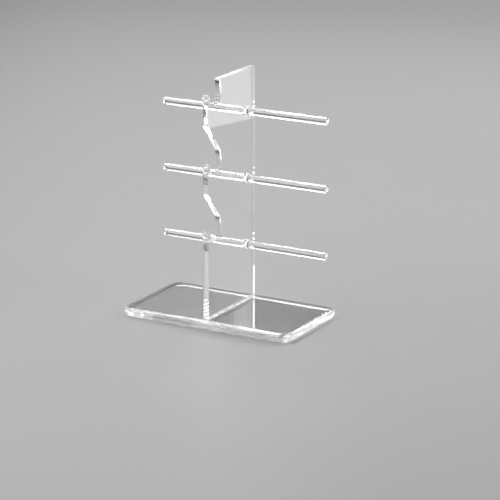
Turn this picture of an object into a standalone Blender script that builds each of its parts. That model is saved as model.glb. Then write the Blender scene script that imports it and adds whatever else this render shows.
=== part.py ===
"""Three-level eyeglasses display stand in clear acrylic sheet and rod.

A flat base plate carries one upright panel, cut as a row of hooks along its front edge. Each pair of
glasses hangs by its bridge in a hook, and its temples rest on the cross rod behind that hook.

Units are metres. +X runs along the rods, +Y towards the back of the stand and +Z up. The origin is the
middle of the base plate's underside.
"""

import math

import bmesh
import bpy

MM = 0.001
FIT_GAP = 0.3 * MM  # clearance between two pieces that touch, filled by solvent cement on the real stand

# Base plate: a slab of thick sheet with rounded corners, its edge rounded almost to a half circle.
BASE_LENGTH = 154.0 * MM
BASE_DEPTH = 86.0 * MM
BASE_THICKNESS = 7.5 * MM
BASE_CORNER_RADIUS = 9.0 * MM
BASE_CORNER_SEGMENTS = 14
BASE_EDGE_RADIUS = 3.5 * MM
BASE_EDGE_SEGMENTS = 7

# Upright panel: one piece of thinner sheet, standing on the middle of the base.
PANEL_THICKNESS = 5.0 * MM
PANEL_FRONT_Y = -36.6 * MM
PANEL_BACK_Y = 37.9 * MM
STAND_HEIGHT = 200.0 * MM

# Cross rods, one for each level, through holes close to the panel's back edge.
ROD_NAMES = ("rod_top", "rod_middle", "rod_bottom")
ROD_DIAMETER = 6.0 * MM
ROD_LENGTH = 150.0 * MM
ROD_Y = 25.6 * MM
TOP_ROD_Z = 165.5 * MM
LEVEL_PITCH = 55.5 * MM
ROD_SIDES = 80

# Hooks. Depths run back from the panel's front edge, and heights up from the level's rod.
HOOK_FLOOR_HEIGHT = 15.7 * MM
HOOK_TIP_HEIGHT = 25.0 * MM
HOOK_TIP_DEPTH = 3.5 * MM
HOOK_TIP_RADIUS = 3.0 * MM
HOOK_FRONT_FILLET = 1.0 * MM
HOOK_REAR_FILLET = 2.5 * MM

# The scoop behind a hook: a long arc down to its deepest point, then a short one to the hook's floor.
SCOOP_UPPER_RADIUS = 26.0 * MM
SCOOP_LOWER_RADIUS = 15.0 * MM
TOP_SCOOP_DEPTH = 20.2 * MM
TOP_SCOOP_DEEPEST = 8.8 * MM  # above the hook's floor
SCOOP_DEPTH = 21.0 * MM
SCOOP_DEEPEST = 6.2 * MM

ARC_CHORD = 0.6 * MM
ARC_LEAST_STEPS = 6
SHARP_ANGLE = math.radians(30.0)

COLLECTION_NAME = "eyeglasses_display_stand"
CUTTER_COLLECTION_NAME = "cutters"


def rod_heights():
    """Height of each level's rod, top level first."""
    return [TOP_ROD_Z - level * LEVEL_PITCH for level in range(len(ROD_NAMES))]


def clear_scene():
    for scene_object in list(bpy.data.objects):
        bpy.data.objects.remove(scene_object, do_unlink=True)


def new_collection(name):
    collection = bpy.data.collections.new(name)
    bpy.context.scene.collection.children.link(collection)
    return collection


def move_to(scene_object, collection):
    for owner in list(scene_object.users_collection):
        owner.objects.unlink(scene_object)
    collection.objects.link(scene_object)


def clear_acrylic(name, colour, roughness):
    """A clear, faintly tinted acrylic."""
    material = bpy.data.materials.new(name)
    material.use_nodes = True
    shader = material.node_tree.nodes["Principled BSDF"]
    shader.inputs["Base Color"].default_value = (*colour, 1.0)
    shader.inputs["Roughness"].default_value = roughness
    shader.inputs["Metallic"].default_value = 0.0
    shader.inputs["IOR"].default_value = 1.49
    shader.inputs["Transmission Weight"].default_value = 1.0
    return material


def shade_round(mesh):
    mesh.shade_smooth()
    mesh.set_sharp_from_angle(angle=SHARP_ANGLE)


def round_edges(shape, edges, radius, segments):
    bmesh.ops.bevel(
        shape,
        geom=edges,
        offset=radius,
        offset_type="OFFSET",
        segments=segments,
        profile=0.5,
        affect="EDGES",
    )


def is_upright(edge):
    """True for an edge that runs between the slab's two faces."""
    return abs(edge.verts[0].co.z - edge.verts[1].co.z) > BASE_THICKNESS / 2


def make_base_plate(collection):
    """The slab: a box with its four upright edges rounded first, then the rims of its two faces."""
    bpy.ops.mesh.primitive_cube_add(size=1.0, location=(0.0, 0.0, BASE_THICKNESS / 2))
    base = bpy.context.object
    base.name = "base_plate"
    base.scale = (BASE_LENGTH, BASE_DEPTH, BASE_THICKNESS)
    bpy.ops.object.transform_apply(location=False, rotation=False, scale=True)
    shape = bmesh.new()
    shape.from_mesh(base.data)
    corners = [edge for edge in shape.edges if is_upright(edge)]
    round_edges(shape, corners, BASE_CORNER_RADIUS, BASE_CORNER_SEGMENTS)
    rims = [edge for edge in shape.edges if not is_upright(edge)]
    round_edges(shape, rims, BASE_EDGE_RADIUS, BASE_EDGE_SEGMENTS)
    shape.to_mesh(base.data)
    shape.free()
    shade_round(base.data)
    base.data.materials.append(clear_acrylic("clear_acrylic_slab", (0.86, 0.90, 0.88), 0.03))
    move_to(base, collection)
    return base


def arc(centre, radius, start, end):
    """Points of an arc as (depth, height), with angles in radians from the depth axis towards up."""
    steps = max(ARC_LEAST_STEPS, math.ceil(abs(end - start) * radius / ARC_CHORD))
    points = []
    for step in range(steps + 1):
        angle = start + (end - start) * step / steps
        points.append(
            (centre[0] + radius * math.cos(angle), centre[1] + radius * math.sin(angle))
        )
    return points


def hook_tip(tip_height, floor_height):
    """The hook's upright tip: square in front, rounded behind, filleted into the floor."""
    tip_centre = (HOOK_TIP_DEPTH - HOOK_TIP_RADIUS, tip_height - HOOK_TIP_RADIUS)
    fillet_centre = (HOOK_TIP_DEPTH + HOOK_FRONT_FILLET, floor_height + HOOK_FRONT_FILLET)
    points = [(0.0, tip_height)]
    points += arc(tip_centre, HOOK_TIP_RADIUS, math.pi / 2, 0.0)
    points += arc(fillet_centre, HOOK_FRONT_FILLET, math.pi, 1.5 * math.pi)
    return points


def scoop_below_deepest(floor_height, depth, deepest):
    """From the hook's floor, round the rear fillet, up the lower arc to the deepest point."""
    centre = (depth - SCOOP_LOWER_RADIUS, floor_height + deepest)
    reach = SCOOP_LOWER_RADIUS - HOOK_REAR_FILLET
    drop = deepest - HOOK_REAR_FILLET
    touch_angle = -math.asin(drop / reach)
    fillet_centre = (centre[0] + reach * math.cos(touch_angle), floor_height + HOOK_REAR_FILLET)
    points = arc(fillet_centre, HOOK_REAR_FILLET, -math.pi / 2, touch_angle)
    points += arc(centre, SCOOP_LOWER_RADIUS, touch_angle, 0.0)[1:]
    return points


def scoop_to_nose(deepest_height, depth, nose_height):
    """Up the long arc, then along its tangent to the nose, where the front face of the level above starts."""
    centre = (depth - SCOOP_UPPER_RADIUS, deepest_height)
    rise = nose_height - centre[1]
    to_nose = math.hypot(centre[0], rise)
    tangent_angle = math.atan2(centre[0], rise) + math.asin(SCOOP_UPPER_RADIUS / to_nose)
    points = arc(centre, SCOOP_UPPER_RADIUS, 0.0, tangent_angle)[1:]
    points.append((0.0, nose_height))
    return points


def scoop_to_top_edge(deepest_height, depth):
    """Up the long arc to the panel's top edge."""
    centre = (depth - SCOOP_UPPER_RADIUS, deepest_height)
    end_angle = math.asin((STAND_HEIGHT - centre[1]) / SCOOP_UPPER_RADIUS)
    return arc(centre, SCOOP_UPPER_RADIUS, 0.0, end_angle)[1:]


def panel_outline():
    """The panel's closed outline as (depth, height), from its bottom front corner up the hooks and round."""
    bottom = BASE_THICKNESS + FIT_GAP
    panel_depth = PANEL_BACK_Y - PANEL_FRONT_Y
    points = [(0.0, bottom)]
    levels = rod_heights()
    for level in reversed(range(len(levels))):
        floor_height = levels[level] + HOOK_FLOOR_HEIGHT
        points += hook_tip(levels[level] + HOOK_TIP_HEIGHT, floor_height)
        if level > 0:
            points += scoop_below_deepest(floor_height, SCOOP_DEPTH, SCOOP_DEEPEST)
            points += scoop_to_nose(floor_height + SCOOP_DEEPEST, SCOOP_DEPTH, levels[level - 1])
        else:
            points += scoop_below_deepest(floor_height, TOP_SCOOP_DEPTH, TOP_SCOOP_DEEPEST)
            points += scoop_to_top_edge(floor_height + TOP_SCOOP_DEEPEST, TOP_SCOOP_DEPTH)
    points.append((panel_depth, STAND_HEIGHT))
    points.append((panel_depth, bottom))
    return points


def outline_to_mesh_object(name, points, thickness, collection):
    """A flat sheet of the given outline, standing in the YZ plane and centred on X = 0, as a mesh."""
    curve = bpy.data.curves.new(name, "CURVE")
    curve.dimensions = "2D"
    curve.fill_mode = "BOTH"
    curve.extrude = thickness / 2
    spline = curve.splines.new("POLY")
    spline.points.add(len(points) - 1)
    for spline_point, (depth, height) in zip(spline.points, points):
        spline_point.co = (PANEL_FRONT_Y + depth, height, 0.0, 1.0)
    spline.use_cyclic_u = True
    outline = bpy.data.objects.new(name + "_outline", curve)
    outline.rotation_euler = (math.pi / 2, 0.0, math.pi / 2)
    collection.objects.link(outline)
    depsgraph = bpy.context.evaluated_depsgraph_get()
    mesh = bpy.data.meshes.new_from_object(outline.evaluated_get(depsgraph))
    shape = bmesh.new()
    shape.from_mesh(mesh)
    bmesh.ops.remove_doubles(shape, verts=shape.verts, dist=0.01 * MM)
    bmesh.ops.recalc_face_normals(shape, faces=shape.faces)
    shape.to_mesh(mesh)
    shape.free()
    sheet = bpy.data.objects.new(name, mesh)
    sheet.matrix_world = outline.matrix_world
    collection.objects.link(sheet)
    bpy.data.objects.remove(outline)
    return sheet


def rod_cylinder(name, radius, length, height):
    """A cylinder along X at a level's rod axis."""
    bpy.ops.mesh.primitive_cylinder_add(
        vertices=ROD_SIDES,
        radius=radius,
        depth=length,
        location=(0.0, ROD_Y, height),
        rotation=(0.0, math.pi / 2, 0.0),
    )
    cylinder = bpy.context.object
    cylinder.name = name
    shade_round(cylinder.data)
    return cylinder


def drill_rod_hole(panel, rod_name, height, cutter_collection):
    cutter_length = PANEL_THICKNESS * 3
    cutter = rod_cylinder(rod_name + "_hole", ROD_DIAMETER / 2 + FIT_GAP, cutter_length, height)
    cutter.hide_render = True
    cutter.display_type = "WIRE"
    move_to(cutter, cutter_collection)
    hole = panel.modifiers.new(cutter.name, "BOOLEAN")
    hole.operation = "DIFFERENCE"
    hole.solver = "EXACT"
    hole.object = cutter


def make_upright_panel(collection, cutter_collection):
    """The hooked panel, drilled for the three rods."""
    panel = outline_to_mesh_object("upright_panel", panel_outline(), PANEL_THICKNESS, collection)
    shade_round(panel.data)
    for rod_name, height in zip(ROD_NAMES, rod_heights()):
        drill_rod_hole(panel, rod_name, height, cutter_collection)
    panel.data.materials.append(clear_acrylic("clear_acrylic_sheet", (0.90, 0.93, 0.92), 0.02))
    return panel


def make_rods(collection):
    """One solid rod for each level."""
    acrylic = clear_acrylic("clear_acrylic_rod", (0.94, 0.95, 0.95), 0.02)
    for rod_name, height in zip(ROD_NAMES, rod_heights()):
        rod = rod_cylinder(rod_name, ROD_DIAMETER / 2, ROD_LENGTH, height)
        rod.data.materials.append(acrylic)
        move_to(rod, collection)


def main():
    clear_scene()
    stand = new_collection(COLLECTION_NAME)
    cutters = new_collection(CUTTER_COLLECTION_NAME)
    make_base_plate(stand)
    make_upright_panel(stand, cutters)
    make_rods(stand)


main()
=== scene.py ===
import math

import bmesh
import bpy
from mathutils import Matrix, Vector, noise


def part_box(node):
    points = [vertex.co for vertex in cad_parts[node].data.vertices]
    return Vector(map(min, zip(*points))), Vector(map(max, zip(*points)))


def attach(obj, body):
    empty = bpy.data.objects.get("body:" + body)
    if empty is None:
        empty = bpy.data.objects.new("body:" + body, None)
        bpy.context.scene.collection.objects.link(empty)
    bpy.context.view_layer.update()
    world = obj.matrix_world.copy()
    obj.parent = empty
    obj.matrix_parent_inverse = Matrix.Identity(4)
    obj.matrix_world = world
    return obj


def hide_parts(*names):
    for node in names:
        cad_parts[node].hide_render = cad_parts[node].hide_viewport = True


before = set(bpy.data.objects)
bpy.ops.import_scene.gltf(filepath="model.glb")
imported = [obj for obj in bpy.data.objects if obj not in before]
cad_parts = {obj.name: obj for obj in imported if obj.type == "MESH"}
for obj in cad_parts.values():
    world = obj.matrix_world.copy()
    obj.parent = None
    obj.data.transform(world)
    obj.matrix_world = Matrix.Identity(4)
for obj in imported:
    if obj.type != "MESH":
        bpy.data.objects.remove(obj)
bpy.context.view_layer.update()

# Looks of the eyeglasses display stand: clear cast acrylic sheet and extruded acrylic rod, put together
# with solvent cement. Lengths are metres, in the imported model's frame: +X along the rods, +Y to the
# back, +Z up.

MM = 0.001
QUARTER_TURN = math.radians(90.0)
BODY = "root"
ROD_NODES = ("rod_top", "rod_middle", "rod_bottom")

# Camera, at the photograph's viewing angle. Angles in degrees.
VIEW_AZIMUTH = 29.55
VIEW_ELEVATION = 16.3
VIEW_DISTANCE = 2.082
VIEW_LENS = 187.4
SENSOR_WIDTH = 36.0
VIEW_CENTRE = Vector((0.0, 1.6 * MM, 0.1))
VIEW_SLIDE = Vector((0.0161, -0.0430))  # the camera's own move to its right and up, without turning
CLIP_END = 100.0

# Base plate.
BASE_CORNER_RADIUS = 9.0 * MM
BASE_EDGE_RADIUS = 3.5 * MM
BASE_CORNER_STEPS = 28
BASE_EDGE_STEPS = 14
BASE_FLAT_MARGIN = 0.5 * MM  # a flat ring inside the rounded edge, so that the flat faces shade flat

# Polished rims of the cut pieces, and how their faces are told apart.
PANEL_RIM = 0.25 * MM
ROD_RIM = 0.4 * MM
RIM_SEGMENTS = 3
RIM_ANGLE = math.radians(60.0)
SMOOTH_ANGLE = math.radians(40.0)
WELD_DISTANCE = 0.002 * MM
FLAT_ANGLE = math.radians(0.3)
SQUARE_ON = 0.99  # a face whose normal has this much of an axis lies square to it
HOLE_REACH = 3.6 * MM  # a panel face this close to a rod's axis is the wall of its hole

# Cement. It grips both faces, so its film reaches a little way into each.
FIT_GAP = 0.3 * MM  # between the CAD's pieces; the cement fills it
CEMENT_BITE = 0.03 * MM
BEAD_STEPS = 5

# The seam under the panel. Its beads swell and shrink along the seam, and taper towards its ends.
SEAM_INSET = 0.3 * MM  # how far it stops from the panel's front and back edges
SEAM_STEP = 0.5 * MM
SEAM_BEAD = 1.0 * MM
SEAM_WIDTH_SWING = 0.75
SEAM_WIDTH_RIPPLES = 260.0  # per metre
SEAM_WIDTH_SEED = 3.0
SEAM_HEIGHT_SWING = 0.6
SEAM_HEIGHT_RIPPLES = 330.0  # per metre
SEAM_HEIGHT_SEED = 9.0
SEAM_END_SIZE = 0.35  # the beads at the seam's ends, next to their full size
SEAM_END_LENGTH = 2.0 * MM

# The collar round each rod. Its beads sag, so they are thinner above the rod than below it.
COLLAR_BEAD = 0.75 * MM
COLLAR_SIDES = 64
COLLAR_LIP = 0.02 * MM  # how far the bead's rim stands off the panel's face
COLLAR_SAG = 0.25
COLLAR_SWING = 0.5
COLLAR_RIPPLES = 1.7  # the noise is read round a circle of this radius
COLLAR_SEED = 5.0
COLLAR_SEED_PER_METRE = 40.0  # makes each level's collar its own

# How the plastic and the cement bend light, and the plastic's tint.
ACRYLIC_IOR = 1.49
CEMENT_IOR = 1.46
WELD_IOR = 1.02  # inside a welded joint light only bends by the ratio of acrylic to cement
TINT = (0.865, 0.895, 0.885)
TINT_DENSITY = 1.2  # per metre

# Marks on the pieces. Each is noise with this many waves per metre along X, Y and Z, so that a small
# number draws the marks out along that direction.
SLAB_WIPES = (22.0, 30.0, 22.0)
SHEET_WIPES = (30.0, 26.0, 20.0)
CASTING_WAVES = (28.0, 28.0, 28.0)
HAIRLINES = (30.0, 1900.0, 30.0)
SLAB_TOOL_MARKS = (300.0, 300.0, 14.0)
SHEET_TOOL_MARKS = (14.0, 520.0, 520.0)
RIM_NICKS = (900.0, 900.0, 900.0)
DRILL_RINGS = (2400.0, 160.0, 160.0)
DIE_LINES = (7.0, 1400.0, 1400.0)
ROD_WIPES = (60.0, 160.0, 160.0)
SAW_ARCS = (60.0, 240.0, 2600.0)
CEMENT_CLOUDS = (420.0, 260.0, 420.0)
CEMENT_BUBBLES = (1500.0, 1500.0, 1500.0)
FLOOR_GRAIN = (700.0, 700.0, 700.0)

# Which way marks lie, as turns in radians about X, Y and Z.
HAIRLINES_ONE_WAY = (0.35, 0.2, 0.5)
HAIRLINES_OTHER_WAY = (-0.6, 0.45, -0.9)
SAW_TURN = (0.5, 0.0, 0.0)

# How deep the marks are.
FACE_RELIEF = 0.002 * MM
ROD_RELIEF = 0.003 * MM
EDGE_RELIEF = 0.006 * MM
RIM_RELIEF = 0.01 * MM
DRILL_RELIEF = 0.01 * MM
SAW_RELIEF = 0.02 * MM
CEMENT_RELIEF = 0.05 * MM
CASTING_WAVINESS = 4.0  # the waves' height, next to the hairlines' depth
SLAB_EDGE_WAVINESS = 1.5  # the waves' height, next to the tool marks'
SHEET_EDGE_WAVINESS = 3.0
POLISHING_WAVES = 0.22  # waves per metre, next to the tool marks' own

# How far hairlines roughen a face, and bubbles whiten the cement.
HAIRLINE_ROUGHNESS = 0.04
BUBBLE_MILKINESS = 0.8

# Colours of marks, next to the white of clean plastic.
WHITE = (1.0, 1.0, 1.0)
WIPED = (0.965, 0.975, 0.97)
TOOLED = (0.93, 0.955, 0.945)
NICKED = (0.9, 0.93, 0.92)
DRILLED = (0.95, 0.96, 0.955)
DRAWN = (0.97, 0.98, 0.975)
SAWN = (0.92, 0.94, 0.935)
THIN_CEMENT = (0.96, 0.97, 0.965)

# The stage.
FLOOR_SIZE = 8.0
FLOOR_DROP = 0.2 * MM  # keeps the floor off the base's underside
FLOOR_DARK = (0.36, 0.358, 0.356)
FLOOR_LIGHT = (0.39, 0.388, 0.386)
FLOOR_SHINE = 0.2
WORLD_COLOUR = (0.12, 0.12, 0.124)
LIGHT_BOUNCES = 32

# What the lights aim at.
FOOT = (0.0, 0.0, 0.0)
MIDDLE = (0.0, 0.0, 0.1)
BEHIND_MIDDLE = (0.0, 0.2, 0.1)


# ---------------------------------------------------------------- shapes


def new_piece(name, mesh):
    piece = bpy.data.objects.new(name, mesh)
    bpy.context.scene.collection.objects.link(piece)
    return piece


def mesh_from(name, vertices, faces):
    """A closed mesh, with its faces turned outwards and its corners kept sharp."""
    mesh = bpy.data.meshes.new(name)
    mesh.from_pydata(vertices, [], faces)
    shape = bmesh.new()
    shape.from_mesh(mesh)
    bmesh.ops.recalc_face_normals(shape, faces=shape.faces)
    shape.to_mesh(mesh)
    shape.free()
    mesh.shade_smooth()
    mesh.set_sharp_from_angle(angle=SMOOTH_ANGLE)
    return mesh


def clean_copy(node_name, name):
    """The CAD node's shape as a new object, with its triangles merged back into whole flat faces."""
    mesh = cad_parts[node_name].data.copy()
    mesh.name = name
    custom_normals = mesh.attributes.get("custom_normal")
    if custom_normals is not None:
        mesh.attributes.remove(custom_normals)
    mesh.materials.clear()
    shape = bmesh.new()
    shape.from_mesh(mesh)
    bmesh.ops.remove_doubles(shape, verts=shape.verts, dist=WELD_DISTANCE)
    bmesh.ops.dissolve_limit(shape, angle_limit=FLAT_ANGLE, verts=shape.verts, edges=shape.edges)
    bmesh.ops.recalc_face_normals(shape, faces=shape.faces)
    shape.to_mesh(mesh)
    shape.free()
    mesh.shade_smooth()
    mesh.set_sharp_from_angle(angle=SMOOTH_ANGLE)
    return new_piece(name, mesh)


def round_rims(piece, width, material):
    """Rounds the piece's corners a little, as polishing does, and gives them a material of their own."""
    bevel = piece.modifiers.new("polished_rims", "BEVEL")
    bevel.width = width
    bevel.segments = RIM_SEGMENTS
    bevel.limit_method = "ANGLE"
    bevel.angle_limit = RIM_ANGLE
    bevel.harden_normals = True
    bevel.material = piece.data.materials.find(material.name)


def rounded_outline(half_length, half_depth, radius):
    """A rounded rectangle as points in the XY plane, anticlockwise."""
    points = []
    for quarter, (side_x, side_y) in enumerate(((1, 1), (-1, 1), (-1, -1), (1, -1))):
        centre_x = side_x * (half_length - radius)
        centre_y = side_y * (half_depth - radius)
        for step in range(BASE_CORNER_STEPS + 1):
            angle = QUARTER_TURN * (quarter + step / BASE_CORNER_STEPS)
            points.append((centre_x + radius * math.cos(angle), centre_y + radius * math.sin(angle)))
    return points


def bullnose_profile(thickness, radius):
    """The slab's edge from its underside up, as (how far in from the outermost line, height)."""
    profile = [(radius + BASE_FLAT_MARGIN, 0.0)]
    for step in range(BASE_EDGE_STEPS + 1):
        angle = QUARTER_TURN * step / BASE_EDGE_STEPS
        profile.append((radius * (1.0 - math.sin(angle)), radius * (1.0 - math.cos(angle))))
    top = [(inset, thickness - height) for inset, height in reversed(profile)]
    return profile + top


def make_base():
    """The slab, as outlines stacked up its rounded edge and closed by its two flat faces."""
    low, high = (Vector(corner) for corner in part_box("base_plate"))
    size = high - low
    rings = []
    for inset, height in bullnose_profile(size.z, BASE_EDGE_RADIUS):
        outline = rounded_outline(size.x / 2 - inset, size.y / 2 - inset, BASE_CORNER_RADIUS - inset)
        rings.append([(x, y, low.z + height) for x, y in outline])
    count = len(rings[0])
    vertices = [point for ring in rings for point in ring]
    faces = [tuple(reversed(range(count))), tuple(range(len(vertices) - count, len(vertices)))]
    for ring in range(len(rings) - 1):
        for side in range(count):
            start, following = ring * count + side, ring * count + (side + 1) % count
            faces.append((start, following, following + count, start + count))
    return new_piece("base_plate_clear", mesh_from("base_plate_clear", vertices, faces))


def unevenness(place, ripples, seed):
    """A smooth random number from about -1 to 1 at a place."""
    return noise.noise(Vector(place) * ripples + Vector((seed, 0.0, 0.0)))


def seam_section(y, half_width, floor_z, bottom_z, fade):
    """Cement across the panel's foot: a film under it, and an uneven bead squeezed out on each side."""
    left, right = [], []
    for points, side in ((right, 1), (left, -1)):
        widening = SEAM_WIDTH_SWING * unevenness((side, y, 0.0), SEAM_WIDTH_RIPPLES, SEAM_WIDTH_SEED)
        width = SEAM_BEAD * fade * (1.0 + widening)
        raising = SEAM_HEIGHT_SWING * unevenness((side, y, 1.0), SEAM_HEIGHT_RIPPLES, SEAM_HEIGHT_SEED)
        height = SEAM_BEAD * fade * (1.0 + raising)
        foot = floor_z + CEMENT_BITE
        for step in range(BEAD_STEPS + 1):
            along = step / BEAD_STEPS
            reach = half_width + width * (1.0 - along) ** 2
            points.append((side * reach, y, foot + height * along**2))
        points.append((side * (half_width - CEMENT_BITE), y, max(bottom_z, foot + height * 0.5)))
    section = [(right[0][0], y, floor_z)] + right + [(half_width - CEMENT_BITE, y, bottom_z)]
    section += [(-half_width + CEMENT_BITE, y, bottom_z)] + left[::-1] + [(left[0][0], y, floor_z)]
    return section


def make_seam():
    """The cement along the panel's foot, drawn as one closed piece by joining its sections."""
    base_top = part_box("base_plate")[1][2]
    low, high = (Vector(corner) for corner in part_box("upright_panel"))
    start, end = low.y + SEAM_INSET, high.y - SEAM_INSET
    steps = round((end - start) / SEAM_STEP)
    sections = []
    for step in range(steps + 1):
        y = start + (end - start) * step / steps
        from_end = min(step, steps - step) * SEAM_STEP
        fade = min(1.0, SEAM_END_SIZE + (1.0 - SEAM_END_SIZE) * from_end / SEAM_END_LENGTH)
        sections.append(seam_section(y, high.x, base_top - CEMENT_BITE, low.z + CEMENT_BITE, fade))
    count = len(sections[0])
    vertices = [point for section in sections for point in section]
    faces = [tuple(range(count)), tuple(reversed(range(len(vertices) - count, len(vertices))))]
    for section in range(steps):
        for side in range(count):
            first, following = section * count + side, section * count + (side + 1) % count
            faces.append((first, first + count, following + count, following))
    return new_piece("panel_cement_seam", mesh_from("panel_cement_seam", vertices, faces))


def collar_profile(angle, height, rod_radius, hole_radius, half_width):
    """The cement round a rod, cut along its axis: a sleeve in the hole and a small bead on each side."""
    lip = half_width + COLLAR_LIP
    profile = []
    for side in (-1, 1):
        sag = 1.0 - COLLAR_SAG * math.sin(angle)
        place = (side, math.cos(angle), math.sin(angle) + height * COLLAR_SEED_PER_METRE)
        swelling = COLLAR_SWING * unevenness(place, COLLAR_RIPPLES, COLLAR_SEED)
        bead = COLLAR_BEAD * sag * (1.0 + swelling)
        points = [(side * (half_width - CEMENT_BITE), hole_radius + CEMENT_BITE)]
        points.append((side * lip, hole_radius + bead))
        for step in range(1, BEAD_STEPS + 1):
            along = step / BEAD_STEPS
            depth = (hole_radius - rod_radius + bead) * (1.0 - along) ** 2
            points.append((side * (lip + bead * along**2), rod_radius + depth))
        points.append((side * (half_width + bead), rod_radius - CEMENT_BITE))
        profile += points[::-1] if side < 0 else points
    return profile


def make_collar(rod_name):
    """The cement round one rod: its profile, carried once round the rod's axis."""
    rod_low, rod_high = (Vector(corner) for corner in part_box(rod_name))
    centre = (rod_low + rod_high) / 2
    rod_radius = (rod_high.z - rod_low.z) / 2
    half_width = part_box("upright_panel")[1][0]
    rings = []
    for side in range(COLLAR_SIDES):
        angle = 2.0 * math.pi * side / COLLAR_SIDES
        ring = collar_profile(angle, centre.z, rod_radius, rod_radius + FIT_GAP, half_width)
        out = Vector((0.0, math.cos(angle), math.sin(angle)))
        rings.append([tuple(centre + Vector((x, 0.0, 0.0)) + out * radius) for x, radius in ring])
    count = len(rings[0])
    vertices = [point for ring in rings for point in ring]
    faces = []
    for ring in range(COLLAR_SIDES):
        start = ring * count
        following = (ring + 1) % COLLAR_SIDES * count
        for point in range(count):
            other = (point + 1) % count
            faces.append((start + point, start + other, following + other, following + point))
    name = rod_name + "_cement_collar"
    return new_piece(name, mesh_from(name, vertices, faces))


def split_across(piece, half_width):
    """Cuts the piece's faces, without opening it, along the planes of the panel's two sides."""
    shape = bmesh.new()
    shape.from_mesh(piece.data)
    for side in (-half_width, half_width):
        everything = shape.verts[:] + shape.edges[:] + shape.faces[:]
        place, along = (side, 0.0, 0.0), (1.0, 0.0, 0.0)
        bmesh.ops.bisect_plane(shape, geom=everything, plane_co=place, plane_no=along)
    shape.to_mesh(piece.data)
    shape.free()


def paint_faces(piece, materials, choose):
    """Gives the piece its materials, and each face the one that choose says."""
    for material in materials:
        piece.data.materials.append(material)
    for face in piece.data.polygons:
        face.material_index = materials.index(choose(face))


# ---------------------------------------------------------------- materials


class Looks:
    """A material's nodes, added with short calls."""

    def __init__(self, name):
        self.material = bpy.data.materials.new(name)
        self.material.use_nodes = True
        self.tree = self.material.node_tree
        self.shader = self.tree.nodes["Principled BSDF"]
        self.place = self.tree.nodes.new("ShaderNodeTexCoord").outputs["Object"]

    def link(self, source, target):
        self.tree.links.new(source, target)

    def stretched(self, scale, turn=(0.0, 0.0, 0.0)):
        """Places in the piece, turned and scaled, for noise to be read at."""
        mapping = self.tree.nodes.new("ShaderNodeMapping")
        mapping.inputs["Scale"].default_value = scale
        mapping.inputs["Rotation"].default_value = turn
        self.link(self.place, mapping.inputs["Vector"])
        return mapping.outputs["Vector"]

    def noise(self, vector, detail=3.0, roughness=0.5, distortion=0.0):
        node = self.tree.nodes.new("ShaderNodeTexNoise")
        node.inputs["Scale"].default_value = 1.0
        node.inputs["Detail"].default_value = detail
        node.inputs["Roughness"].default_value = roughness
        node.inputs["Distortion"].default_value = distortion
        self.link(vector, node.inputs["Vector"])
        return node.outputs["Fac"]

    def cells(self, vector):
        """How far a place is from the nearest of many scattered points."""
        node = self.tree.nodes.new("ShaderNodeTexVoronoi")
        node.inputs["Scale"].default_value = 1.0
        self.link(vector, node.inputs["Vector"])
        return node.outputs["Distance"]

    def ramp(self, value, over, to):
        """A soft step: while the value goes over one pair of numbers, the result goes over the other."""
        node = self.tree.nodes.new("ShaderNodeMapRange")
        node.interpolation_type = "SMOOTHSTEP"
        node.inputs["From Min"].default_value, node.inputs["From Max"].default_value = over
        node.inputs["To Min"].default_value, node.inputs["To Max"].default_value = to
        self.link(value, node.inputs["Value"])
        return node.outputs["Result"]

    def math(self, operation, first, second):
        node = self.tree.nodes.new("ShaderNodeMath")
        node.operation = operation
        for socket, value in zip(node.inputs, (first, second)):
            if isinstance(value, (int, float)):
                socket.default_value = value
            else:
                self.link(value, socket)
        return node.outputs["Value"]

    def add(self, first, second):
        return self.math("ADD", first, second)

    def times(self, first, second):
        return self.math("MULTIPLY", first, second)

    def colours(self, value, first, second):
        node = self.tree.nodes.new("ShaderNodeMix")
        node.data_type = "RGBA"
        node.inputs["A"].default_value = (*first, 1.0)
        node.inputs["B"].default_value = (*second, 1.0)
        self.link(value, node.inputs["Factor"])
        self.link(node.outputs["Result"], self.shader.inputs["Base Color"])

    def rough(self, value):
        self.link(value, self.shader.inputs["Roughness"])

    def see_through(self, value):
        self.link(value, self.shader.inputs["Transmission Weight"])

    def relief(self, height, depth):
        node = self.tree.nodes.new("ShaderNodeBump")
        node.inputs["Strength"].default_value = 1.0
        node.inputs["Distance"].default_value = depth
        self.link(height, node.inputs["Height"])
        self.link(node.outputs["Normal"], self.shader.inputs["Normal"])


def clear_plastic(name, ior):
    """Clear and faintly tinted all through, ready for its marks."""
    looks = Looks(name)
    looks.shader.inputs["IOR"].default_value = ior
    looks.shader.inputs["Transmission Weight"].default_value = 1.0
    volume = looks.tree.nodes.new("ShaderNodeVolumeAbsorption")
    volume.inputs["Color"].default_value = (*TINT, 1.0)
    volume.inputs["Density"].default_value = TINT_DENSITY
    looks.link(volume.outputs["Volume"], looks.tree.nodes["Material Output"].inputs["Volume"])
    return looks


def hairlines(looks, turn, shortness):
    """Sparse fine scratches from handling, all lying about one way."""
    along, across, through = HAIRLINES
    streaks = looks.noise(looks.stretched((along * shortness, across, through), turn), detail=2.0)
    return looks.ramp(streaks, over=(0.70, 0.80), to=(0.0, 1.0))


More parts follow.
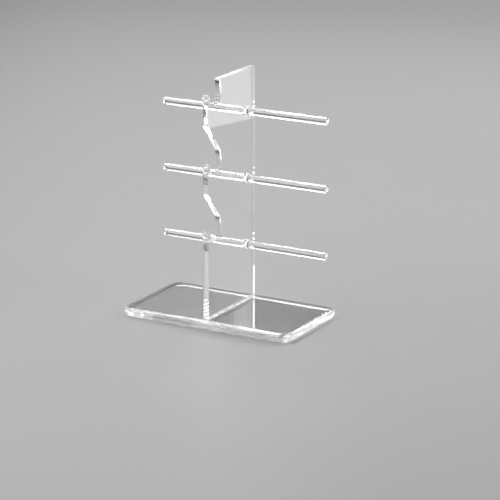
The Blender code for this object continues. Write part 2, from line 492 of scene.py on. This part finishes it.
def cast_face(name, wipes):
    """A cast sheet's own face: nearly perfect, with faint wipe marks, hairlines and slow waviness."""
    looks = clear_plastic(name, ACRYLIC_IOR)
    smears = looks.noise(looks.stretched(wipes), detail=4.0, roughness=0.6, distortion=1.2)
    scratches = looks.math(
        "MAXIMUM",
        hairlines(looks, HAIRLINES_ONE_WAY, shortness=1.0),
        hairlines(looks, HAIRLINES_OTHER_WAY, shortness=1.3),
    )
    haze = looks.ramp(smears, over=(0.45, 0.75), to=(0.0, 0.03))
    looks.rough(looks.add(haze, looks.times(scratches, HAIRLINE_ROUGHNESS)))
    looks.colours(looks.ramp(smears, over=(0.35, 0.8), to=(0.0, 1.0)), WHITE, WIPED)
    waves = looks.noise(looks.stretched(CASTING_WAVES), detail=1.0)
    looks.relief(looks.math("SUBTRACT", looks.times(waves, CASTING_WAVINESS), scratches), FACE_RELIEF)
    return looks.material


def cut_edge(name, tool_marks, waviness):
    """A cut edge after polishing: tool marks across the sheet, and the slight waves of the polishing."""
    looks = clear_plastic(name, ACRYLIC_IOR)
    marks = looks.noise(looks.stretched(tool_marks), detail=3.0, roughness=0.6)
    wider = tuple(POLISHING_WAVES * per_metre for per_metre in tool_marks)
    waves = looks.noise(looks.stretched(wider), detail=1.0)
    looks.rough(looks.ramp(marks, over=(0.35, 0.7), to=(0.01, 0.1)))
    looks.colours(looks.ramp(marks, over=(0.4, 0.8), to=(0.0, 1.0)), WHITE, TOOLED)
    looks.relief(looks.add(looks.times(waves, waviness), marks), EDGE_RELIEF)
    return looks.material


def worn_rim(name):
    """The narrow rounded corner between a face and an edge: polished, then dulled by handling."""
    looks = clear_plastic(name, ACRYLIC_IOR)
    nicks = looks.noise(looks.stretched(RIM_NICKS), detail=4.0, roughness=0.7)
    looks.rough(looks.ramp(nicks, over=(0.4, 0.75), to=(0.05, 0.35)))
    looks.colours(looks.ramp(nicks, over=(0.5, 0.8), to=(0.0, 1.0)), WHITE, NICKED)
    looks.relief(nicks, RIM_RELIEF)
    return looks.material


def welded_wall(name):
    """Where solvent has melted rod and sheet together: nearly invisible, but for the drill's rings."""
    looks = clear_plastic(name, WELD_IOR)
    rings = looks.noise(looks.stretched(DRILL_RINGS), detail=3.0)
    looks.rough(looks.ramp(rings, over=(0.3, 0.7), to=(0.0, 0.15)))
    looks.see_through(looks.ramp(rings, over=(0.45, 0.75), to=(1.0, 0.7)))
    looks.colours(rings, WHITE, DRILLED)
    looks.relief(rings, DRILL_RELIEF)
    return looks.material


def drawn_rod(name):
    """Extruded rod: faint lines along its length from the die, and a few wipe marks."""
    looks = clear_plastic(name, ACRYLIC_IOR)
    lines = looks.noise(looks.stretched(DIE_LINES), detail=3.0)
    smears = looks.noise(looks.stretched(ROD_WIPES), detail=3.0, distortion=0.8)
    lined = looks.ramp(lines, over=(0.5, 0.75), to=(0.0, 0.05))
    smeared = looks.ramp(smears, over=(0.5, 0.8), to=(0.0, 0.05))
    looks.rough(looks.add(lined, smeared))
    looks.colours(smears, WHITE, DRAWN)
    looks.relief(lines, ROD_RELIEF)
    return looks.material


def sawn_end(name):
    """A rod's sawn end, sanded and flame polished: still a little frosted, with the saw's arcs."""
    looks = clear_plastic(name, ACRYLIC_IOR)
    arcs = looks.noise(looks.stretched(SAW_ARCS, SAW_TURN), detail=3.0, distortion=0.3)
    looks.rough(looks.ramp(arcs, over=(0.3, 0.7), to=(0.12, 0.38)))
    looks.colours(arcs, WHITE, SAWN)
    looks.relief(arcs, SAW_RELIEF)
    return looks.material


def set_cement(name):
    """Set cement: clear in places and milky in others, where fine bubbles are trapped."""
    looks = Looks(name)
    looks.shader.inputs["IOR"].default_value = CEMENT_IOR
    clouds = looks.noise(looks.stretched(CEMENT_CLOUDS), detail=3.0, roughness=0.6, distortion=0.6)
    bubbles = looks.ramp(looks.cells(looks.stretched(CEMENT_BUBBLES)), over=(0.18, 0.34), to=(1.0, 0.0))
    cloudy = looks.ramp(clouds, over=(0.35, 0.6), to=(0.6, 1.0))
    milky = looks.math("MAXIMUM", cloudy, looks.times(bubbles, BUBBLE_MILKINESS))
    looks.see_through(looks.math("SUBTRACT", 1.0, milky))
    looks.rough(looks.ramp(clouds, over=(0.3, 0.7), to=(0.08, 0.4)))
    looks.colours(clouds, THIN_CEMENT, WHITE)
    looks.relief(looks.add(clouds, bubbles), CEMENT_RELIEF)
    return looks.material


# ---------------------------------------------------------------- stage


def add_camera():
    """The photograph's point of view."""
    azimuth = math.radians(VIEW_AZIMUTH)
    elevation = math.radians(VIEW_ELEVATION)
    back = Vector((
        math.sin(azimuth) * math.cos(elevation),
        -math.cos(azimuth) * math.cos(elevation),
        math.sin(elevation),
    ))
    right = Vector((math.cos(azimuth), math.sin(azimuth), 0.0))
    up = back.cross(right)
    data = bpy.data.cameras.new("camera")
    data.lens = VIEW_LENS
    data.sensor_width = SENSOR_WIDTH
    data.clip_end = CLIP_END
    camera = bpy.data.objects.new("camera", data)
    camera.location = VIEW_CENTRE + back * VIEW_DISTANCE + right * VIEW_SLIDE.x + up * VIEW_SLIDE.y
    camera.rotation_euler = back.to_track_quat("Z", "Y").to_euler()
    bpy.context.scene.collection.objects.link(camera)
    bpy.context.scene.camera = camera


def add_floor():
    """A big pale floor. It belongs to the stage, not to the stand."""
    mesh = bpy.data.meshes.new("floor")
    shape = bmesh.new()
    bmesh.ops.create_grid(shape, x_segments=1, y_segments=1, size=FLOOR_SIZE)
    shape.to_mesh(mesh)
    shape.free()
    floor = new_piece("floor", mesh)
    floor.location.z = -FLOOR_DROP
    looks = Looks("pale_floor")
    grain = looks.noise(looks.stretched(FLOOR_GRAIN), detail=3.0)
    looks.colours(grain, FLOOR_DARK, FLOOR_LIGHT)
    looks.rough(looks.ramp(grain, over=(0.3, 0.7), to=(0.42, 0.5)))
    looks.shader.inputs["Specular IOR Level"].default_value = FLOOR_SHINE
    mesh.materials.append(looks.material)
    return floor


def softbox(name, at, aim, size, glow):
    """A rectangular soft light. Glow is how bright its face is, where 1 shows as white."""
    data = bpy.data.lights.new(name, "AREA")
    data.shape = "RECTANGLE"
    data.size, data.size_y = size
    data.energy = glow * math.pi * size[0] * size[1]
    light = bpy.data.objects.new(name, data)
    light.location = at
    light.rotation_euler = (Vector(aim) - Vector(at)).to_track_quat("-Z", "Y").to_euler()
    light.visible_camera = False
    bpy.context.scene.collection.objects.link(light)
    return light


def choose_pieces(light, pieces, link_state):
    """Lets a light shine on these pieces only (INCLUDE), or on all but these (EXCLUDE)."""
    group = bpy.data.collections.new(light.name + "_pieces")
    for piece in pieces:
        group.objects.link(piece)
    for entry in group.collection_objects:
        entry.light_linking.link_state = link_state
    light.light_linking.receiver_collection = group


def add_main_lights(base, rods):
    """The studio's own lights. The rods and the edges along X mirror overhead_left as white lines."""
    softbox("overhead_left", at=(-0.71, 0.30, 1.35), aim=BEHIND_MIDDLE, size=(1.7, 0.42), glow=7.5)
    bank = softbox("back_bank", at=(-0.3, 1.9, 1.35), aim=MIDDLE, size=(2.4, 0.6), glow=0.4)
    strip = softbox("back_strip", at=(0.0, 1.05, 0.515), aim=(0.0, 0.0, 0.15), size=(1.8, 0.11), glow=2.0)
    wall = softbox("back_wall", at=(-0.6, 2.6, 0.52), aim=(-0.6, 0.0, 0.52), size=(2.8, 0.76), glow=0.7)
    far = softbox("back_right_wall", at=(2.4, 3.7, 0.75), aim=(0.0, 0.0, 0.75), size=(2.6, 0.93), glow=1.5)
    softbox("back_right", at=(0.60, 1.35, 0.75), aim=(0.08, 0.0, 0.0), size=(0.7, 0.4), glow=6.5)
    softbox("right", at=(1.9, 0.30, 1.20), aim=MIDDLE, size=(1.2, 0.8), glow=6.5)
    softbox("left", at=(-1.8, -0.90, 0.80), aim=FOOT, size=(1.0, 0.8), glow=4.0)
    softbox("front_left", at=(-0.36, -0.56, 0.55), aim=(-0.30, -0.45, 0.0), size=(0.45, 0.45), glow=3.0)
    softbox("front_card", at=(-0.75, -1.15, 0.40), aim=FOOT, size=(0.35, 0.30), glow=2.4)
    for light in (strip, far):
        choose_pieces(light, (base,), "EXCLUDE")
    for light in (bank, wall):
        choose_pieces(light, (base, *rods), "EXCLUDE")


def add_detail_lights(floor, base, rods, collars):
    """Cards for the pale patch in the panel and for its back edge, and one for each other kind of piece."""
    patch = softbox("right_card", at=(0.333, 0.585, 0.06), aim=(0.0, 0.49, 0.06), size=(0.5, 0.12), glow=1.2)
    edge = softbox("tall_card", at=(0.225, 0.44, 0.25), aim=(0.0, 0.0, 0.25), size=(0.05, 0.26), glow=2.2)
    end = softbox("end_card", at=(-1.75, -0.87, 0.77), aim=FOOT, size=(1.0, 0.8), glow=11.0)
    strip = softbox("rod_strip", at=(-0.71, 0.30, 1.30), aim=BEHIND_MIDDLE, size=(1.6, 0.42), glow=9.0)
    card = softbox("collar_card", at=(1.3, -0.5, 0.9), aim=MIDDLE, size=(0.9, 0.7), glow=12.0)
    choose_pieces(patch, (floor,), "EXCLUDE")
    choose_pieces(edge, (base,), "EXCLUDE")
    choose_pieces(end, (base,), "INCLUDE")
    choose_pieces(strip, rods, "INCLUDE")
    choose_pieces(card, collars, "INCLUDE")


def add_world():
    """A dim even light from all round."""
    world = bpy.data.worlds.new("studio")
    world.use_nodes = True
    background = world.node_tree.nodes["Background"]
    background.inputs["Color"].default_value = (*WORLD_COLOUR, 1.0)
    background.inputs["Strength"].default_value = 1.0
    bpy.context.scene.world = world


def set_render():
    """Clear plastic needs many bounces, and unblurred light paths that reach the floor through it."""
    scene = bpy.context.scene
    scene.view_settings.view_transform = "Standard"
    scene.cycles.max_bounces = LIGHT_BOUNCES
    scene.cycles.glossy_bounces = LIGHT_BOUNCES
    scene.cycles.transmission_bounces = LIGHT_BOUNCES
    scene.cycles.blur_glossy = 0.0


# ---------------------------------------------------------------- the stand


def finish_piece(piece, node_name=None):
    """Says which body the piece rides on, and hides the CAD node that it stands in for, if any."""
    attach(piece, BODY)
    if node_name is not None:
        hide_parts(node_name)


def build_base():
    base = make_base()
    flat = cast_face("cast_slab_face", SLAB_WIPES)
    edge = cut_edge("slab_edge", SLAB_TOOL_MARKS, SLAB_EDGE_WAVINESS)
    paint_faces(base, (flat, edge), lambda face: flat if abs(face.normal.z) > SQUARE_ON else edge)
    finish_piece(base, "base_plate")
    return base


def build_panel(rim, weld):
    panel = clean_copy("upright_panel", "upright_panel_clear")
    axes = [sum((Vector(corner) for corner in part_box(rod)), Vector()) / 2 for rod in ROD_NODES]
    flat = cast_face("cast_sheet_face", SHEET_WIPES)
    edge = cut_edge("sheet_edge", SHEET_TOOL_MARKS, SHEET_EDGE_WAVINESS)

    def choose(face):
        if abs(face.normal.x) > SQUARE_ON:
            return flat
        reach = min(math.hypot(face.center.y - axis.y, face.center.z - axis.z) for axis in axes)
        return weld if reach < HOLE_REACH else edge

    paint_faces(panel, (flat, edge, weld, rim), choose)
    round_rims(panel, PANEL_RIM, rim)
    finish_piece(panel, "upright_panel")


def build_rods(rim, weld, cement):
    surface = drawn_rod("drawn_rod")
    end = sawn_end("sawn_rod_end")
    half_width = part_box("upright_panel")[1][0]

    def choose(face):
        if abs(face.normal.x) > SQUARE_ON:
            return end
        return weld if abs(face.center.x) < half_width else surface

    def choose_in_hole(face):
        return weld if abs(face.center.x) < half_width - CEMENT_BITE else cement

    rods, collars = [], []
    for node_name in ROD_NODES:
        rod = clean_copy(node_name, node_name + "_clear")
        split_across(rod, half_width)
        paint_faces(rod, (surface, end, rim, weld), choose)
        round_rims(rod, ROD_RIM, rim)
        finish_piece(rod, node_name)
        rods.append(rod)
        collar = make_collar(node_name)
        paint_faces(collar, (cement, weld), choose_in_hole)
        finish_piece(collar)
        collars.append(collar)
    return rods, collars


def build_seam(cement):
    seam = make_seam()
    seam.data.materials.append(cement)
    finish_piece(seam)


add_camera()
studio_floor = add_floor()
set_render()
rim_material = worn_rim("worn_rim")
weld_material = welded_wall("welded_wall")
cement_material = set_cement("set_cement")
clear_base = build_base()
build_panel(rim_material, weld_material)
clear_rods, cement_collars = build_rods(rim_material, weld_material, cement_material)
build_seam(cement_material)
add_main_lights(clear_base, clear_rods)
add_detail_lights(studio_floor, clear_base, clear_rods, cement_collars)
add_world()
